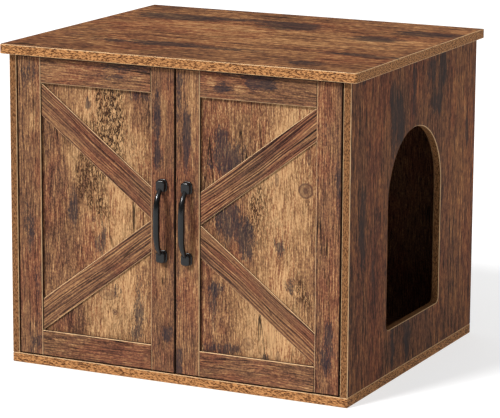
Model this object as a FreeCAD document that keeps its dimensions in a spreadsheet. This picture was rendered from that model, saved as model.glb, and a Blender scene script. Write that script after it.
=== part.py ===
import FreeCAD
import Part
import Sketcher
import math
import os
import re

# Litter box cabinet: a board carcass with two inset barn-style doors on concealed hinges and an
# arched entry in its right side. Millimetres. The origin is the centre of the base board's
# underside, X runs to the right, Y to the back and Z up; the doors face -Y.

SIZES = {
    # carcass boards
    "body_width": 576.0,
    "body_depth": 495.0,
    "overall_height": 505.0,
    "top_thickness": 15.0,
    "base_thickness": 15.0,
    "side_thickness": 12.0,
    "top_side_overhang": 12.0,
    "top_front_overhang": 10.0,
    "top_corner_radius": 5.0,
    "board_arris": 0.8,
    # thin back board in its grooves
    "back_thickness": 4.0,
    "back_inset": 10.0,
    "groove_depth": 5.0,
    "groove_play": 0.1,
    # arched entry in the right side
    "entry_width": 210.0,
    "entry_sill_height": 84.0,
    "entry_spring_height": 280.0,
    "entry_corner_radius": 10.0,
    # knock-down fittings at the board joints
    "dowel_diameter": 8.0,
    "dowel_in_side": 18.0,
    "dowel_in_board": 9.0,
    "dowel_spacing": 400.0,
    "drill_extra": 1.0,
    "cam_spacing": 300.0,
    "cam_diameter": 15.0,
    "cam_depth": 9.5,
    "cam_from_end": 27.0,
    "cam_drive_width": 2.4,
    "cam_drive_length": 8.0,
    "cam_drive_depth": 2.0,
    "bolt_thread_diameter": 7.0,
    "bolt_thread_length": 9.0,
    "bolt_shank_diameter": 4.6,
    "bolt_head_diameter": 6.4,
    "bolt_head_length": 2.6,
    "bolt_channel_diameter": 7.4,
    # doors
    "door_side_gap": 2.6,
    "door_middle_gap": 2.5,
    "door_bottom_gap": 2.0,
    "door_top_gap": 2.0,
    "slab_thickness": 9.0,
    "strip_thickness": 6.0,
    "strip_arris": 0.9,
    "stile_width": 40.0,
    "rail_width": 40.0,
    "brace_width": 40.0,
    "brace_thickness": 3.0,
    "brace_arris": 0.7,
    # arch pulls
    "pull_centres": 110.0,
    "pull_height": 253.4,
    "pull_projection": 26.0,
    "pull_bar_diameter": 10.6,
    "pull_neck_diameter": 6.6,
    "pull_root_depth": 5.0,
    "pull_root_inset": 3.0,
    "pull_foot_width": 16.5,
    "pull_foot_length": 19.5,
    "pull_foot_corner": 5.5,
    "pull_foot_height": 10.0,
    "pull_foot_crown": 2.4,
    "pull_crown_slope": 48.0,
    "pull_flange_margin": 0.8,
    "pull_flange_height": 2.0,
    "pull_screw_diameter": 4.0,
    "pull_screw_bite": 7.0,
    "pull_head_diameter": 8.0,
    "pull_head_height": 2.4,
    "thread_play": 0.05,
    "screw_play": 0.2,
    # twin magnetic catch
    "catch_width": 46.0,
    "catch_height": 16.0,
    "catch_depth": 20.0,
    "catch_ear_width": 10.0,
    "catch_ear_height": 3.0,
    "catch_gap": 0.4,
    "magnet_width": 14.0,
    "magnet_height": 9.0,
    "magnet_depth": 8.0,
    "magnet_proud": 0.2,
    "magnet_play": 0.05,
    "magnet_spacing": 20.0,
    "strike_width": 17.0,
    "strike_height": 11.0,
    "strike_thickness": 1.2,
    "small_screw_diameter": 3.0,
    "small_screw_length": 7.0,
    "small_head_diameter": 5.6,
    "small_head_height": 1.4,
    # concealed hinges: places are measured from the door's outer edge and its back face
    "hinge_from_end": 75.0,
    "cup_diameter": 35.0,
    "cup_depth": 11.5,
    "cup_edge_distance": 3.0,
    "cup_wall": 0.8,
    "cup_play": 0.1,
    "cup_wing_thickness": 1.0,
    "cup_wing_width": 17.0,
    "cup_wing_span": 58.0,
    "cup_wing_start": 16.0,
    "cup_screw_span": 46.0,
    "cup_bracket": 1.4,
    "cup_bracket_rise": 6.4,
    "pin_diameter": 2.4,
    "pin_play": 0.08,
    "open_pivot_play": 0.3,
    "hinge_play": 0.3,
    "link_eye_diameter": 5.2,
    "link_thickness": 2.6,
    "link_bow": 3.4,
    "outer_link_plate": 1.5,
    "inner_link_arm_x": 27.0,
    "inner_link_arm_depth": 7.8,
    "inner_link_cup_x": 15.4,
    "inner_link_cup_depth": 7.3,
    "outer_link_arm_x": 20.0,
    "outer_link_arm_depth": 7.4,
    "outer_link_cup_x": 9.0,
    "outer_link_cup_depth": 7.7,
    "arm_height": 14.0,
    "arm_cheek": 1.5,
    "arm_leg_thickness": 4.0,
    "arm_leg_gap": 0.6,
    "arm_floor_gap": 0.5,
    "arm_crossbar_offset": 14.4,
    "arm_crossbar_thickness": 4.0,
    "arm_back_end": 50.0,
    "arm_seat_height": 5.0,
    "arm_rear_thickness": 5.0,
    "plate_thickness": 2.0,
    "plate_front": 18.0,
    "plate_wing_front": 29.0,
    "plate_wing_width": 16.0,
    "plate_wing_span": 48.0,
    "plate_screw_span": 32.0,
    "plate_screw_length": 9.0,
    "arm_screw_diameter": 5.0,
    "arm_screw_head": 8.6,
    "arm_screw_head_height": 1.8,
}

# places and spans that several pieces share
INNER_WIDTH = "(body_width - 2 * side_thickness)"
SIDE_HEIGHT = "(overall_height - top_thickness - base_thickness)"
FRONT = "(-body_depth / 2)"
BACK = "(body_depth / 2)"
BACK_PANEL_FRONT = "(body_depth / 2 - back_inset - back_thickness)"
DOOR_WIDTH = "((body_width - 2 * side_thickness - 2 * door_side_gap - door_middle_gap) / 2)"
DOOR_HEIGHT = f"({SIDE_HEIGHT} - door_bottom_gap - door_top_gap)"
DOOR_BOTTOM = "(base_thickness + door_bottom_gap)"
DOOR_THICKNESS = "(slab_thickness + strip_thickness)"
DOOR_BACK = f"({FRONT} + {DOOR_THICKNESS})"
DOOR_EDGE = "(body_width / 2 - side_thickness - door_side_gap)"
PANEL_WIDTH = f"({DOOR_WIDTH} - 2 * stile_width)"
PANEL_HEIGHT = f"({DOOR_HEIGHT} - 2 * rail_width)"
CUP_CENTRE = "(cup_edge_distance + cup_diameter / 2)"
STRIKE_HEIGHT = "(overall_height - top_thickness - catch_height / 2)"
CATCH_FRONT = f"({DOOR_BACK} + strike_thickness + catch_gap)"
PLATE_MIDDLE = "(plate_wing_front + plate_wing_width / 2)"

doc = FreeCAD.newDocument("litter_box_cabinet")
sheet = doc.addObject("Spreadsheet::Sheet", "Sizes")
for row, (size_name, size_value) in enumerate(SIZES.items(), start=1):
    sheet.set(f"A{row}", size_name)
    sheet.set(f"B{row}", str(size_value))
    sheet.setAlias(f"B{row}", size_name)
doc.recompute()

# small round things repeat, so they have few sides
ROD_SIDES = 6
PIN_SIDES = 12
CUP_SIDES = 24
EYE_SIDES = 8
BAR_SIDES = 12
BAR_SHARES = (-1.0, -0.8, -0.5, 0.0, 0.5, 0.8, 1.0)

WORD = re.compile(r"[a-z][a-z_]*")
parts = {}
cuts = []


def expression(text):
    """Point each size named in the text at the sheet."""
    return WORD.sub(lambda found: "Sizes." + found[0] if found[0] in SIZES else found[0], text)


def number(text):
    return float(sheet.evalExpression(text))


def bind(thing, path, text):
    thing.setExpression(path, expression(text))


def place(thing, x="0", y="0", z="0"):
    for axis, text in (("x", x), ("y", y), ("z", z)):
        bind(thing, f"Placement.Base.{axis}", text)


def keep(node, thing):
    thing.Label = node
    parts[node] = thing
    return thing


# ---- sketches and body features

def new_body(node):
    return keep(node, doc.addObject("PartDesign::Body", node))


def origin_plane(body, role):
    return next(item for item in body.Origin.OriginFeatures if item.Role == role)


def new_sketch(body, role, offset="0"):
    sketch = body.newObject("Sketcher::SketchObject", "profile")
    sketch.AttachmentSupport = [(origin_plane(body, role), "")]
    sketch.MapMode = "FlatFace"
    bind(sketch, "AttachmentOffset.Base.z", offset)
    return sketch


def dimension(sketch, wanted):
    """Add dimensions together: each is a kind, what it measures between and its size as text."""
    indexes = sketch.addConstraint([Sketcher.Constraint(kind, *where, number(text))
                                    for kind, where, text in wanted])
    for index, (kind, _, text) in zip(indexes, wanted):
        sketch.renameConstraint(index, f"{kind}_{index}")
        bind(sketch, f"Constraints.{kind}_{index}", text)


def from_origin(geometry, position, x, y):
    """Dimensions of one point from the sketch's origin; None leaves that way free."""
    return [(kind, (-1, 1, geometry, position), text)
            for kind, text in (("DistanceX", x), ("DistanceY", y)) if text is not None]


def add_loop(sketch, corners):
    """A closed loop. A corner is (x, y), reached by a line from the corner before it, or
    (x, y, centre x, centre y, turn), reached by an arc that turns left (1) or right (-1)."""
    spots = [FreeCAD.Vector(number(corner[0]), number(corner[1]), 0) for corner in corners]
    edges = []
    for index, corner in enumerate(corners):
        start, end = spots[index - 1], spots[index]
        if len(corner) == 2:
            edges.append((sketch.addGeometry(Part.LineSegment(start, end), False), 1, 2))
            continue
        centre = FreeCAD.Vector(number(corner[2]), number(corner[3]), 0)
        circle = Part.Circle(centre, FreeCAD.Vector(0, 0, 1), (start - centre).Length)
        first, last = (start, end) if corner[4] > 0 else (end, start)
        angles = [math.atan2(spot.y - centre.y, spot.x - centre.x) for spot in (first, last)]
        arc = sketch.addGeometry(Part.ArcOfCircle(circle, *angles), False)
        edges.append((arc, 1, 2) if corner[4] > 0 else (arc, 2, 1))
    sketch.addConstraint([Sketcher.Constraint("Coincident", edges[index - 1][0],
                                              edges[index - 1][2], edge[0], edge[1])
                          for index, edge in enumerate(edges)])
    wanted = []
    for index, corner in enumerate(corners):
        geometry, _, end_position = edges[index]
        if len(corner) == 2:
            wanted += from_origin(geometry, end_position, *corner)
            continue
        wanted += from_origin(geometry, 3, corner[2], corner[3])
        away = spots[index] - FreeCAD.Vector(number(corner[2]), number(corner[3]), 0)
        sideways = abs(away.x) > abs(away.y)
        wanted += from_origin(geometry, end_position,
                              None if sideways else corner[0], corner[1] if sideways else None)
    dimension(sketch, wanted)


def rectangle(x_low, x_high, y_low, y_high):
    return [(x_low, y_low), (x_high, y_low), (x_high, y_high), (x_low, y_high)]


def loop_sketch(body, role, *loops, offset="0"):
    sketch = new_sketch(body, role, offset)
    for corners in loops:
        add_loop(sketch, corners)
    return sketch


def add_polygon(sketch, x, y, diameter, sides):
    """A regular polygon whose corners are on the circle of that diameter, one straight along."""
    centre = FreeCAD.Vector(number(x), number(y), 0)
    radius = number(diameter) / 2
    turns = [2 * math.pi * step / sides for step in range(sides)]
    corners = [centre + FreeCAD.Vector(radius * math.cos(turn), radius * math.sin(turn), 0)
               for turn in turns]
    circle = sketch.addGeometry(Part.Circle(centre, FreeCAD.Vector(0, 0, 1), radius), True)
    lines = sketch.addGeometry([Part.LineSegment(corners[step - 1], corners[step])
                                for step in range(sides)], False)
    rules = [Sketcher.Constraint("Horizontal", circle, 3, lines[0], 2)]
    for step, line in enumerate(lines):
        rules.append(Sketcher.Constraint("Coincident", lines[step - 1], 2, line, 1))
        rules.append(Sketcher.Constraint("PointOnObject", line, 1, circle))
    rules += [Sketcher.Constraint("Equal", lines[0], line) for line in lines[1:]]
    sketch.addConstraint(rules)
    dimension(sketch, from_origin(circle, 3, x, y) + [("Diameter", (circle,), diameter)])


def polygon_sketch(body, role, places, offset="0", sides=ROD_SIDES):
    """Small holes or eyes, each drawn as a polygon."""
    sketch = new_sketch(body, role, offset)
    for x, y, diameter in places:
        add_polygon(sketch, x, y, diameter, sides)
    return sketch


def pad(body, sketch, length, back=False, both=False):
    feature = body.newObject("PartDesign::Pad", "pad")
    feature.Profile = sketch
    bind(feature, "Length", length)
    feature.Reversed = back
    feature.Midplane = both
    body.Tip = feature
    return feature


def pocket(body, sketch, length, back=False, both=False):
    feature = body.newObject("PartDesign::Pocket", "pocket")
    feature.Profile = sketch
    bind(feature, "Length", length)
    feature.Reversed = back
    feature.Midplane = both
    body.Tip = feature
    cuts.append(feature)
    return feature


def break_edges(body, arris):
    """A small chamfer on every edge of the piece."""
    base = body.Tip
    feature = body.newObject("PartDesign::Chamfer", "arris")
    feature.Base = (base, ["Face1"])
    feature.UseAllEdges = True
    bind(feature, "Size", arris)
    body.Tip = feature
    return feature


def round_edges(body, radius, wanted):
    """Fillet the edges of the piece whose middle and direction suit the test."""
    doc.recompute()
    base = body.Tip
    names = []
    for index, edge in enumerate(base.Shape.Edges, start=1):
        if isinstance(edge.Curve, Part.Line) and wanted(edge.CenterOfMass, edge.Curve.Direction):
            names.append(f"Edge{index}")
    feature = body.newObject("PartDesign::Fillet", "rounding")
    feature.Base = (base, names)
    bind(feature, "Radius", radius)
    body.Tip = feature
    return feature


# ---- groups of identical pieces

def rod(x, y, z, diameter, length, axis, sides=ROD_SIDES):
    """A dowel, bolt or screw with a few flat sides, whose corners are on its diameter. Its base
    centre is at x, y, z and it runs along +X, +Y or +Z."""
    turns = {"X": (FreeCAD.Vector(1, 1, 1), 120), "Y": (FreeCAD.Vector(1, 0, 0), -90),
             "Z": (FreeCAD.Vector(0, 0, 1), 0)}
    prism = doc.addObject("Part::Prism", "rod")
    prism.Polygon = sides
    prism.Placement.Rotation = FreeCAD.Rotation(*turns[axis])
    bind(prism, "Circumradius", f"({diameter}) / 2")
    bind(prism, "Height", length)
    place(prism, x, y, z)
    return prism


def box(x, y, z, length, width, height):
    """A box centred on x, y and z."""
    block = doc.addObject("Part::Box", "block")
    for name, text in (("Length", length), ("Width", width), ("Height", height)):
        bind(block, name, text)
    place(block, f"{x} - ({length}) / 2", f"{y} - ({width}) / 2", f"{z} - ({height}) / 2")
    return block


def joined(shapes):
    fuse = doc.addObject("Part::MultiFuse", "joined")
    fuse.Shapes = shapes
    return fuse


def less(base, tool):
    cut = doc.addObject("Part::Cut", "less")
    cut.Base = base
    cut.Tool = tool
    return cut


def group(node, shapes):
    compound = doc.addObject("Part::Compound", node)
    compound.Links = shapes
    return keep(node, compound)


# ---- carcass

SIDES = (("left", -1), ("right", 1))
ENDS = (("front", -1), ("back", 1))


def fitting_places(spacing):
    """The middle of each side board's end, at both depths."""
    return [(f"{side} * (body_width - side_thickness) / 2", f"{end} * {spacing} / 2")
            for _, side in SIDES for _, end in ENDS]


def drill_board(body, face, back):
    """Dowel and bolt holes in the top or base, from the face that meets the sides."""
    dowels = polygon_sketch(body, "XY_Plane",
                            [(x, y, "dowel_diameter") for x, y in fitting_places("dowel_spacing")],
                            offset=face)
    pocket(body, dowels, "dowel_in_board + drill_extra", back=back)
    bolts = polygon_sketch(body, "XY_Plane",
                           [(x, y, "bolt_thread_diameter") for x, y in fitting_places("cam_spacing")],
                           offset=face)
    pocket(body, bolts, "bolt_thread_length + drill_extra", back=back)


def groove_board(body, face, back):
    """The back board's groove in the top or base, as long as the back board is wide."""
    reach = f"({INNER_WIDTH} / 2 + groove_depth)"
    groove = loop_sketch(body, "XY_Plane",
                         rectangle(f"-{reach}", reach, f"{BACK_PANEL_FRONT} - groove_play",
                                   f"{BACK_PANEL_FRONT} + back_thickness + groove_play"),
                         offset=face)
    pocket(body, groove, "groove_depth", back=back)


def make_top():
    body = new_body("top_panel")
    half_width = "(body_width / 2 + top_side_overhang)"
    front = f"({FRONT} - top_front_overhang)"
    pad(body, loop_sketch(body, "XY_Plane", rectangle(f"-{half_width}", half_width, front, BACK)),
        "top_thickness")
    front_line = number(front)
    round_edges(body, "top_corner_radius",
                lambda middle, way: abs(way.z) > 0.9 and abs(middle.y - front_line) < 0.01)
    break_edges(body, "board_arris")
    drill_board(body, "0", True)
    groove_board(body, "0", True)
    place(body, z="overall_height - top_thickness")


def make_base():
    body = new_body("base_panel")
    pad(body, loop_sketch(body, "XY_Plane",
                          rectangle("-body_width / 2", "body_width / 2", FRONT, BACK)),
        "base_thickness")
    break_edges(body, "board_arris")
    drill_board(body, "base_thickness", False)
    groove_board(body, "base_thickness", False)


def make_side(name, side):
    """A side board: its own X = 0 is the outer face and its thickness runs inwards."""
    body = new_body(f"{name}_side_panel")
    pad(body, loop_sketch(body, "YZ_Plane", rectangle(FRONT, BACK, "0", SIDE_HEIGHT)),
        "side_thickness", back=side > 0)
    if side > 0:
        cut_entry(body)
    break_edges(body, "board_arris")
    inner_face = f"{-side} * side_thickness"
    groove = loop_sketch(body, "YZ_Plane",
                         rectangle(f"{BACK_PANEL_FRONT} - groove_play",
                                   f"{BACK_PANEL_FRONT} + back_thickness + groove_play",
                                   "0", SIDE_HEIGHT), offset=inner_face)
    pocket(body, groove, "groove_depth", back=side > 0)
    cams = polygon_sketch(body, "YZ_Plane",
                          [(f"{end} * cam_spacing / 2", height, "cam_diameter")
                           for _, end in ENDS
                           for height in ("cam_from_end", f"{SIDE_HEIGHT} - cam_from_end")],
                          offset=inner_face, sides=PIN_SIDES)
    pocket(body, cams, "cam_depth", back=side > 0)
    middle = f"{-side} * side_thickness / 2"
    for face, back in (("0", True), (SIDE_HEIGHT, False)):
        dowels = polygon_sketch(body, "XY_Plane",
                                [(middle, f"{end} * dowel_spacing / 2", "dowel_diameter")
                                 for _, end in ENDS], offset=face)
        pocket(body, dowels, "dowel_in_side + drill_extra", back=back)
        bolts = polygon_sketch(body, "XY_Plane",
                               [(middle, f"{end} * cam_spacing / 2", "bolt_channel_diameter")
                                for _, end in ENDS], offset=face)
        pocket(body, bolts, "cam_from_end", back=back)
    place(body, x=f"{side} * body_width / 2", z="base_thickness")


def cut_entry(body):
    """The arched entry, with small rounded corners at its sill."""
    half = "entry_width / 2"
    sill = "(entry_sill_height - base_thickness)"
    spring = "(entry_spring_height - base_thickness)"
    arch = [(f"-{half}", sill), (half, sill), (half, spring), (f"-{half}", spring, "0", spring, 1)]
    pocket(body, loop_sketch(body, "YZ_Plane", arch), "side_thickness", back=False)
    corner = number(half)
    floor = number(sill)
    round_edges(body, "entry_corner_radius",
                lambda middle, way: abs(way.x) > 0.9 and abs(abs(middle.y) - corner) < 0.01
                and abs(middle.z - floor) < 0.01)


def make_back():
    body = new_body("back_panel")
    half = f"({INNER_WIDTH} / 2 + groove_depth - groove_play)"
    low = "(base_thickness - groove_depth + groove_play)"
    high = "(overall_height - top_thickness + groove_depth - groove_play)"
    pad(body, loop_sketch(body, "XZ_Plane", rectangle(f"-{half}", half, low, high)),
        "back_thickness", back=True)
    place(body, y=BACK_PANEL_FRONT)


def make_fittings():
    """Dowels, cam bolts and cam locks at both ends of each side board."""
    dowels, bolts, cams = [], [], []
    joints = (("base_thickness", 1), ("overall_height - top_thickness", -1))
    for joint, into_side in joints:
        for x, y in fitting_places("dowel_spacing"):
            foot = f"{joint} - dowel_in_board" if into_side > 0 else f"{joint} - dowel_in_side"
            dowels.append(rod(x, y, foot, "dowel_diameter", "dowel_in_board + dowel_in_side",
                              "Z"))
        for x, y in fitting_places("cam_spacing"):
            bolts.append(make_bolt(x, y, joint, into_side))
            cams.append(make_cam(x, y, joint, into_side))
    group("wood_dowels", dowels)
    group("cam_bolts", bolts)
    group("cam_locks", cams)


def make_bolt(x, y, joint, into_side):
    """Thread in the board, shank and head in the side's end."""
    head_end = "(cam_from_end - bolt_channel_diameter / 2)"
    spans = (("bolt_thread_diameter", "-bolt_thread_length", "0"),
             ("bolt_shank_diameter", "0", head_end),
             ("bolt_head_diameter", f"{head_end} - bolt_head_length", head_end))
    pieces = []
    for diameter, start, end in spans:
        low = f"{joint} + ({start})" if into_side > 0 else f"{joint} - ({end})"
        pieces.append(rod(x, y, low, diameter, f"{end} - ({start})", "Z"))
    return joined(pieces)


def make_cam(x, y, joint, into_side):
    """A round housing let into the inner face, with its bolt mouth and its screwdriver slot."""
    side = -1 if x.startswith("-") else 1
    inner = f"({side} * {INNER_WIDTH} / 2)"
    start = inner if side > 0 else f"{inner} - cam_depth"
    z = f"{joint} + {into_side} * cam_from_end"
    drum = rod(start, y, z, "cam_diameter", "cam_depth", "X", PIN_SIDES)
    mouth = rod(x, y, z if into_side < 0 else f"{z} - cam_diameter",
                "bolt_channel_diameter", "cam_diameter", "Z")
    face = f"{inner} + {side} * cam_drive_depth / 2"
    slot = box(face, y, z, "cam_drive_depth", "cam_drive_length", "cam_drive_width")
    return less(less(drum, mouth), slot)


# ---- doors

def make_strip(node, corners, thickness, setback, arris):
    """An applied board of the door's face; setback is from the frame's own front."""
    body = new_body(node)
    pad(body, loop_sketch(body, "XZ_Plane", corners), thickness, back=True)
    break_edges(body, arris)
    place(body, y=f"{FRONT} + {setback}")
    return body


def door_spans(side):
    """Where the door's vertical lines are, from its outer edge inwards."""
    outer = f"({side} * {DOOR_EDGE})"
    meeting = f"({side} * door_middle_gap / 2)"
    outer_stile = f"({outer} - {side} * stile_width)"
    meeting_stile = f"({meeting} + {side} * stile_width)"
    return outer, outer_stile, meeting_stile, meeting


def upright(side, outside, inside, low, high):
    """A rectangle whose corners run the same way round on both doors."""
    return rectangle(outside, inside, low, high) if side < 0 else rectangle(inside, outside, low,
                                                                            high)


def make_door(name, side):
    outer, outer_stile, meeting_stile, meeting = door_spans(side)
    low = DOOR_BOTTOM
    high = f"({DOOR_BOTTOM} + {DOOR_HEIGHT})"
    low_rail = f"({low} + rail_width)"
    high_rail = f"({high} - rail_width)"
    slab = make_strip(f"{name}_door_slab", upright(side, outer, meeting, low, high),
                      "slab_thickness", "strip_thickness", "strip_arris / 3")
    stile = make_strip(f"{name}_hinge_stile", upright(side, outer, outer_stile, low, high),
                       "strip_thickness", "0", "strip_arris")
    grip = make_strip(f"{name}_meeting_stile", upright(side, meeting_stile, meeting, low, high),
                      "strip_thickness", "0", "strip_arris")
    make_strip(f"{name}_top_rail", upright(side, outer_stile, meeting_stile, high_rail, high),
               "strip_thickness", "0", "strip_arris")
    make_strip(f"{name}_bottom_rail", upright(side, outer_stile, meeting_stile, low, low_rail),
               "strip_thickness", "0", "strip_arris")
    make_braces(name, outer_stile, meeting_stile, low_rail, high_rail)
    drill_door(name, side, slab, stile, grip)
    make_pull(name, side)
    make_strike(name, side)


def make_braces(name, outer_stile, meeting_stile, low_rail, high_rail):
    """Two braces from the outer corners of the panel to one point at the meeting stile. Each
    end is cut upright, and is as tall as the brace's width over the cosine of its slope."""
    half_height = f"({PANEL_HEIGHT} / 2)"
    reach = f"sqrt({half_height} * {half_height} + {PANEL_WIDTH} * {PANEL_WIDTH})"
    slope = f"(acos(brace_width / {reach}) - atan({PANEL_WIDTH} / {half_height}))"
    end = f"(brace_width / cos({slope}))"
    middle = f"({DOOR_BOTTOM} + {DOOR_HEIGHT} / 2)"
    upper = [(outer_stile, f"{high_rail} - {end}"), (meeting_stile, middle),
             (meeting_stile, f"{middle} + {end}"), (outer_stile, high_rail)]
    lower = [(outer_stile, low_rail), (meeting_stile, f"{middle} - {end}"),
             (meeting_stile, middle), (outer_stile, f"{low_rail} + {end}")]
    for level, corners in (("upper", upper), ("lower", lower)):
        make_strip(f"{name}_{level}_brace", corners, "brace_thickness",
                   "strip_thickness - brace_thickness", "brace_arris")


def hinge_heights():
    return (("upper", f"({DOOR_BOTTOM} + {DOOR_HEIGHT} - hinge_from_end)"),
            ("lower", f"({DOOR_BOTTOM} + hinge_from_end)"))


def pull_feet():
    return [f"(pull_height + {end} * pull_centres / 2)" for _, end in ENDS]


def pull_line(side):
    return f"({side} * (door_middle_gap / 2 + stile_width / 2))"


def drill_door(name, side, slab, stile, grip):
    """Hinge cup bores, pull screw holes and pilot holes for the small screws."""
    cup_x = f"({side} * ({DOOR_EDGE} - {CUP_CENTRE}))"
    bores = [(cup_x, height, "cup_diameter + 2 * cup_play") for _, height in hinge_heights()]
    pocket(slab, polygon_sketch(slab, "XZ_Plane", bores, sides=CUP_SIDES), "slab_thickness",
           back=False)
    seats = polygon_sketch(stile, "XZ_Plane", bores, offset="-strip_thickness", sides=CUP_SIDES)
    pocket(stile, seats, "cup_depth + cup_play - slab_thickness", back=True)
    holes = [(pull_line(side), foot, "pull_screw_diameter + 2 * screw_play")
             for foot in pull_feet()]
    pocket(slab, polygon_sketch(slab, "XZ_Plane", holes), "slab_thickness", back=False)
    pocket(grip, polygon_sketch(grip, "XZ_Plane", holes), "strip_thickness", back=False)
    pilots = [(x, z, "small_screw_diameter") for x, z in cup_screw_places(side)]
    pilots.append((strike_line(side), STRIKE_HEIGHT, "small_screw_diameter"))
    pocket(slab, polygon_sketch(slab, "XZ_Plane", pilots, offset="-slab_thickness"),
           "small_screw_length + drill_extra / 2", back=True)


# ---- arch pulls

def make_pull(name, side):
    """A bowed bar, thickest in its middle, that dives steeply into two rounded block feet."""
    body = new_body(f"{name}_pull_handle")
    sections = [pull_section(body, share) for share in BAR_SHARES]
    bar = body.newObject("PartDesign::AdditiveLoft", "bar")
    bar.Profile = sections[0]
    bar.Sections = [(section, [""]) for section in sections[1:]]
    bar.Ruled = True
    body.Tip = bar
    for end in (1, -1):
        make_pull_foot(body, end)
    screws = polygon_sketch(body, "XZ_Plane",
                            [("0", f"{end} * pull_centres / 2",
                              "pull_screw_diameter + 2 * thread_play") for end in (1, -1)])
    pocket(body, screws, "pull_screw_bite + drill_extra", back=True)
    place(body, x=pull_line(side), y=FRONT, z="pull_height")
    shank = f"({DOOR_THICKNESS} + pull_screw_bite)"
    group(f"{name}_pull_screws",
          [joined([rod(pull_line(side), f"{FRONT} - pull_screw_bite", foot,
                       "pull_screw_diameter", shank, "Y"),
                   rod(pull_line(side), DOOR_BACK, foot, "pull_head_diameter",
                       "pull_head_height", "Y")]) for foot in pull_feet()])


def pull_section(body, share):
    """A section across the bar, at a share of the way from its middle to a root. The bar falls
    towards the door with the fourth power of that share."""
    root = "(pull_centres / 2 - pull_root_inset)"
    crest = "(pull_projection - pull_bar_diameter / 2)"
    fall = f"({crest} - pull_root_depth)"
    section = body.newObject("Sketcher::SketchObject", "section")
    section.AttachmentSupport = [(origin_plane(body, "XY_Plane"), "")]
    section.MapMode = "FlatFace"
    section.AttachmentOffset = FreeCAD.Placement(FreeCAD.Vector(), FreeCAD.Rotation(
        FreeCAD.Vector(1, 0, 0), 1))
    diameter = f"pull_bar_diameter - (pull_bar_diameter - pull_neck_diameter) * {share ** 2}"
    bind(section, "AttachmentOffset.Base.y", f"{fall} * {share ** 4} - {crest}")
    bind(section, "AttachmentOffset.Base.z", f"{share} * {root}")
    bind(section, "AttachmentOffset.Rotation.Angle",
         f"-atan({4 * share ** 3} * {fall} / {root})")
    add_polygon(section, "0", "0", diameter, BAR_SIDES)
    return section


def make_pull_foot(body, end):
    """A rounded block on a thin flange, with a crown that slopes in all round."""
    pad(body, foot_sketch(body, end, "0", "0"), "pull_flange_height")
    pad(body, foot_sketch(body, end, "pull_flange_margin", "0"),
        "pull_foot_height - pull_foot_crown")
    crown = foot_sketch(body, end, "pull_flange_margin", "pull_foot_height - pull_foot_crown")
    bind(pad(body, crown, "pull_foot_crown"), "TaperAngle", "-pull_crown_slope")


def foot_sketch(body, end, margin, offset):
    """The foot's outline, drawn in by a margin: each corner is rounded by three short lines."""
    side = "(pull_foot_width / 2 - pull_foot_corner)"
    rise = "(pull_foot_length / 2 - pull_foot_corner)"
    outline = []
    for quarter, (across, along) in enumerate(((1, 1), (-1, 1), (-1, -1), (1, -1))):
        for turn in (0, 30, 60, 90):
            way = f"({turn + 90 * quarter})"
            outline.append((
                f"{across} * {side} + (pull_foot_corner - {margin}) * cos{way}",
                f"{end} * pull_centres / 2 + {along} * {rise}"
                f" + (pull_foot_corner - {margin}) * sin{way}"))
    return loop_sketch(body, "XZ_Plane", outline, offset=offset)


# ---- magnetic catch


def strike_line(side):
    return f"({side} * magnet_spacing / 2)"


def make_strike(name, side):
    """A thin steel plate on the slab's back, held by one screw whose head is flush with it."""
    hole = rod(strike_line(side), DOOR_BACK, STRIKE_HEIGHT,
               "small_head_diameter + 2 * thread_play", "strike_thickness", "Y")
    sheet_steel = box(strike_line(side), f"{DOOR_BACK} + strike_thickness / 2", STRIKE_HEIGHT,
                      "strike_width", "strike_thickness", "strike_height")
    keep(f"{name}_strike_plate", less(sheet_steel, hole))
    keep(f"{name}_strike_screw", joined([
        rod(strike_line(side), f"{DOOR_BACK} - small_screw_length", STRIKE_HEIGHT,
            "small_screw_diameter", "small_screw_length", "Y"),
        rod(strike_line(side), DOOR_BACK, STRIKE_HEIGHT, "small_head_diameter",
            "strike_thickness", "Y")]))


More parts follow.
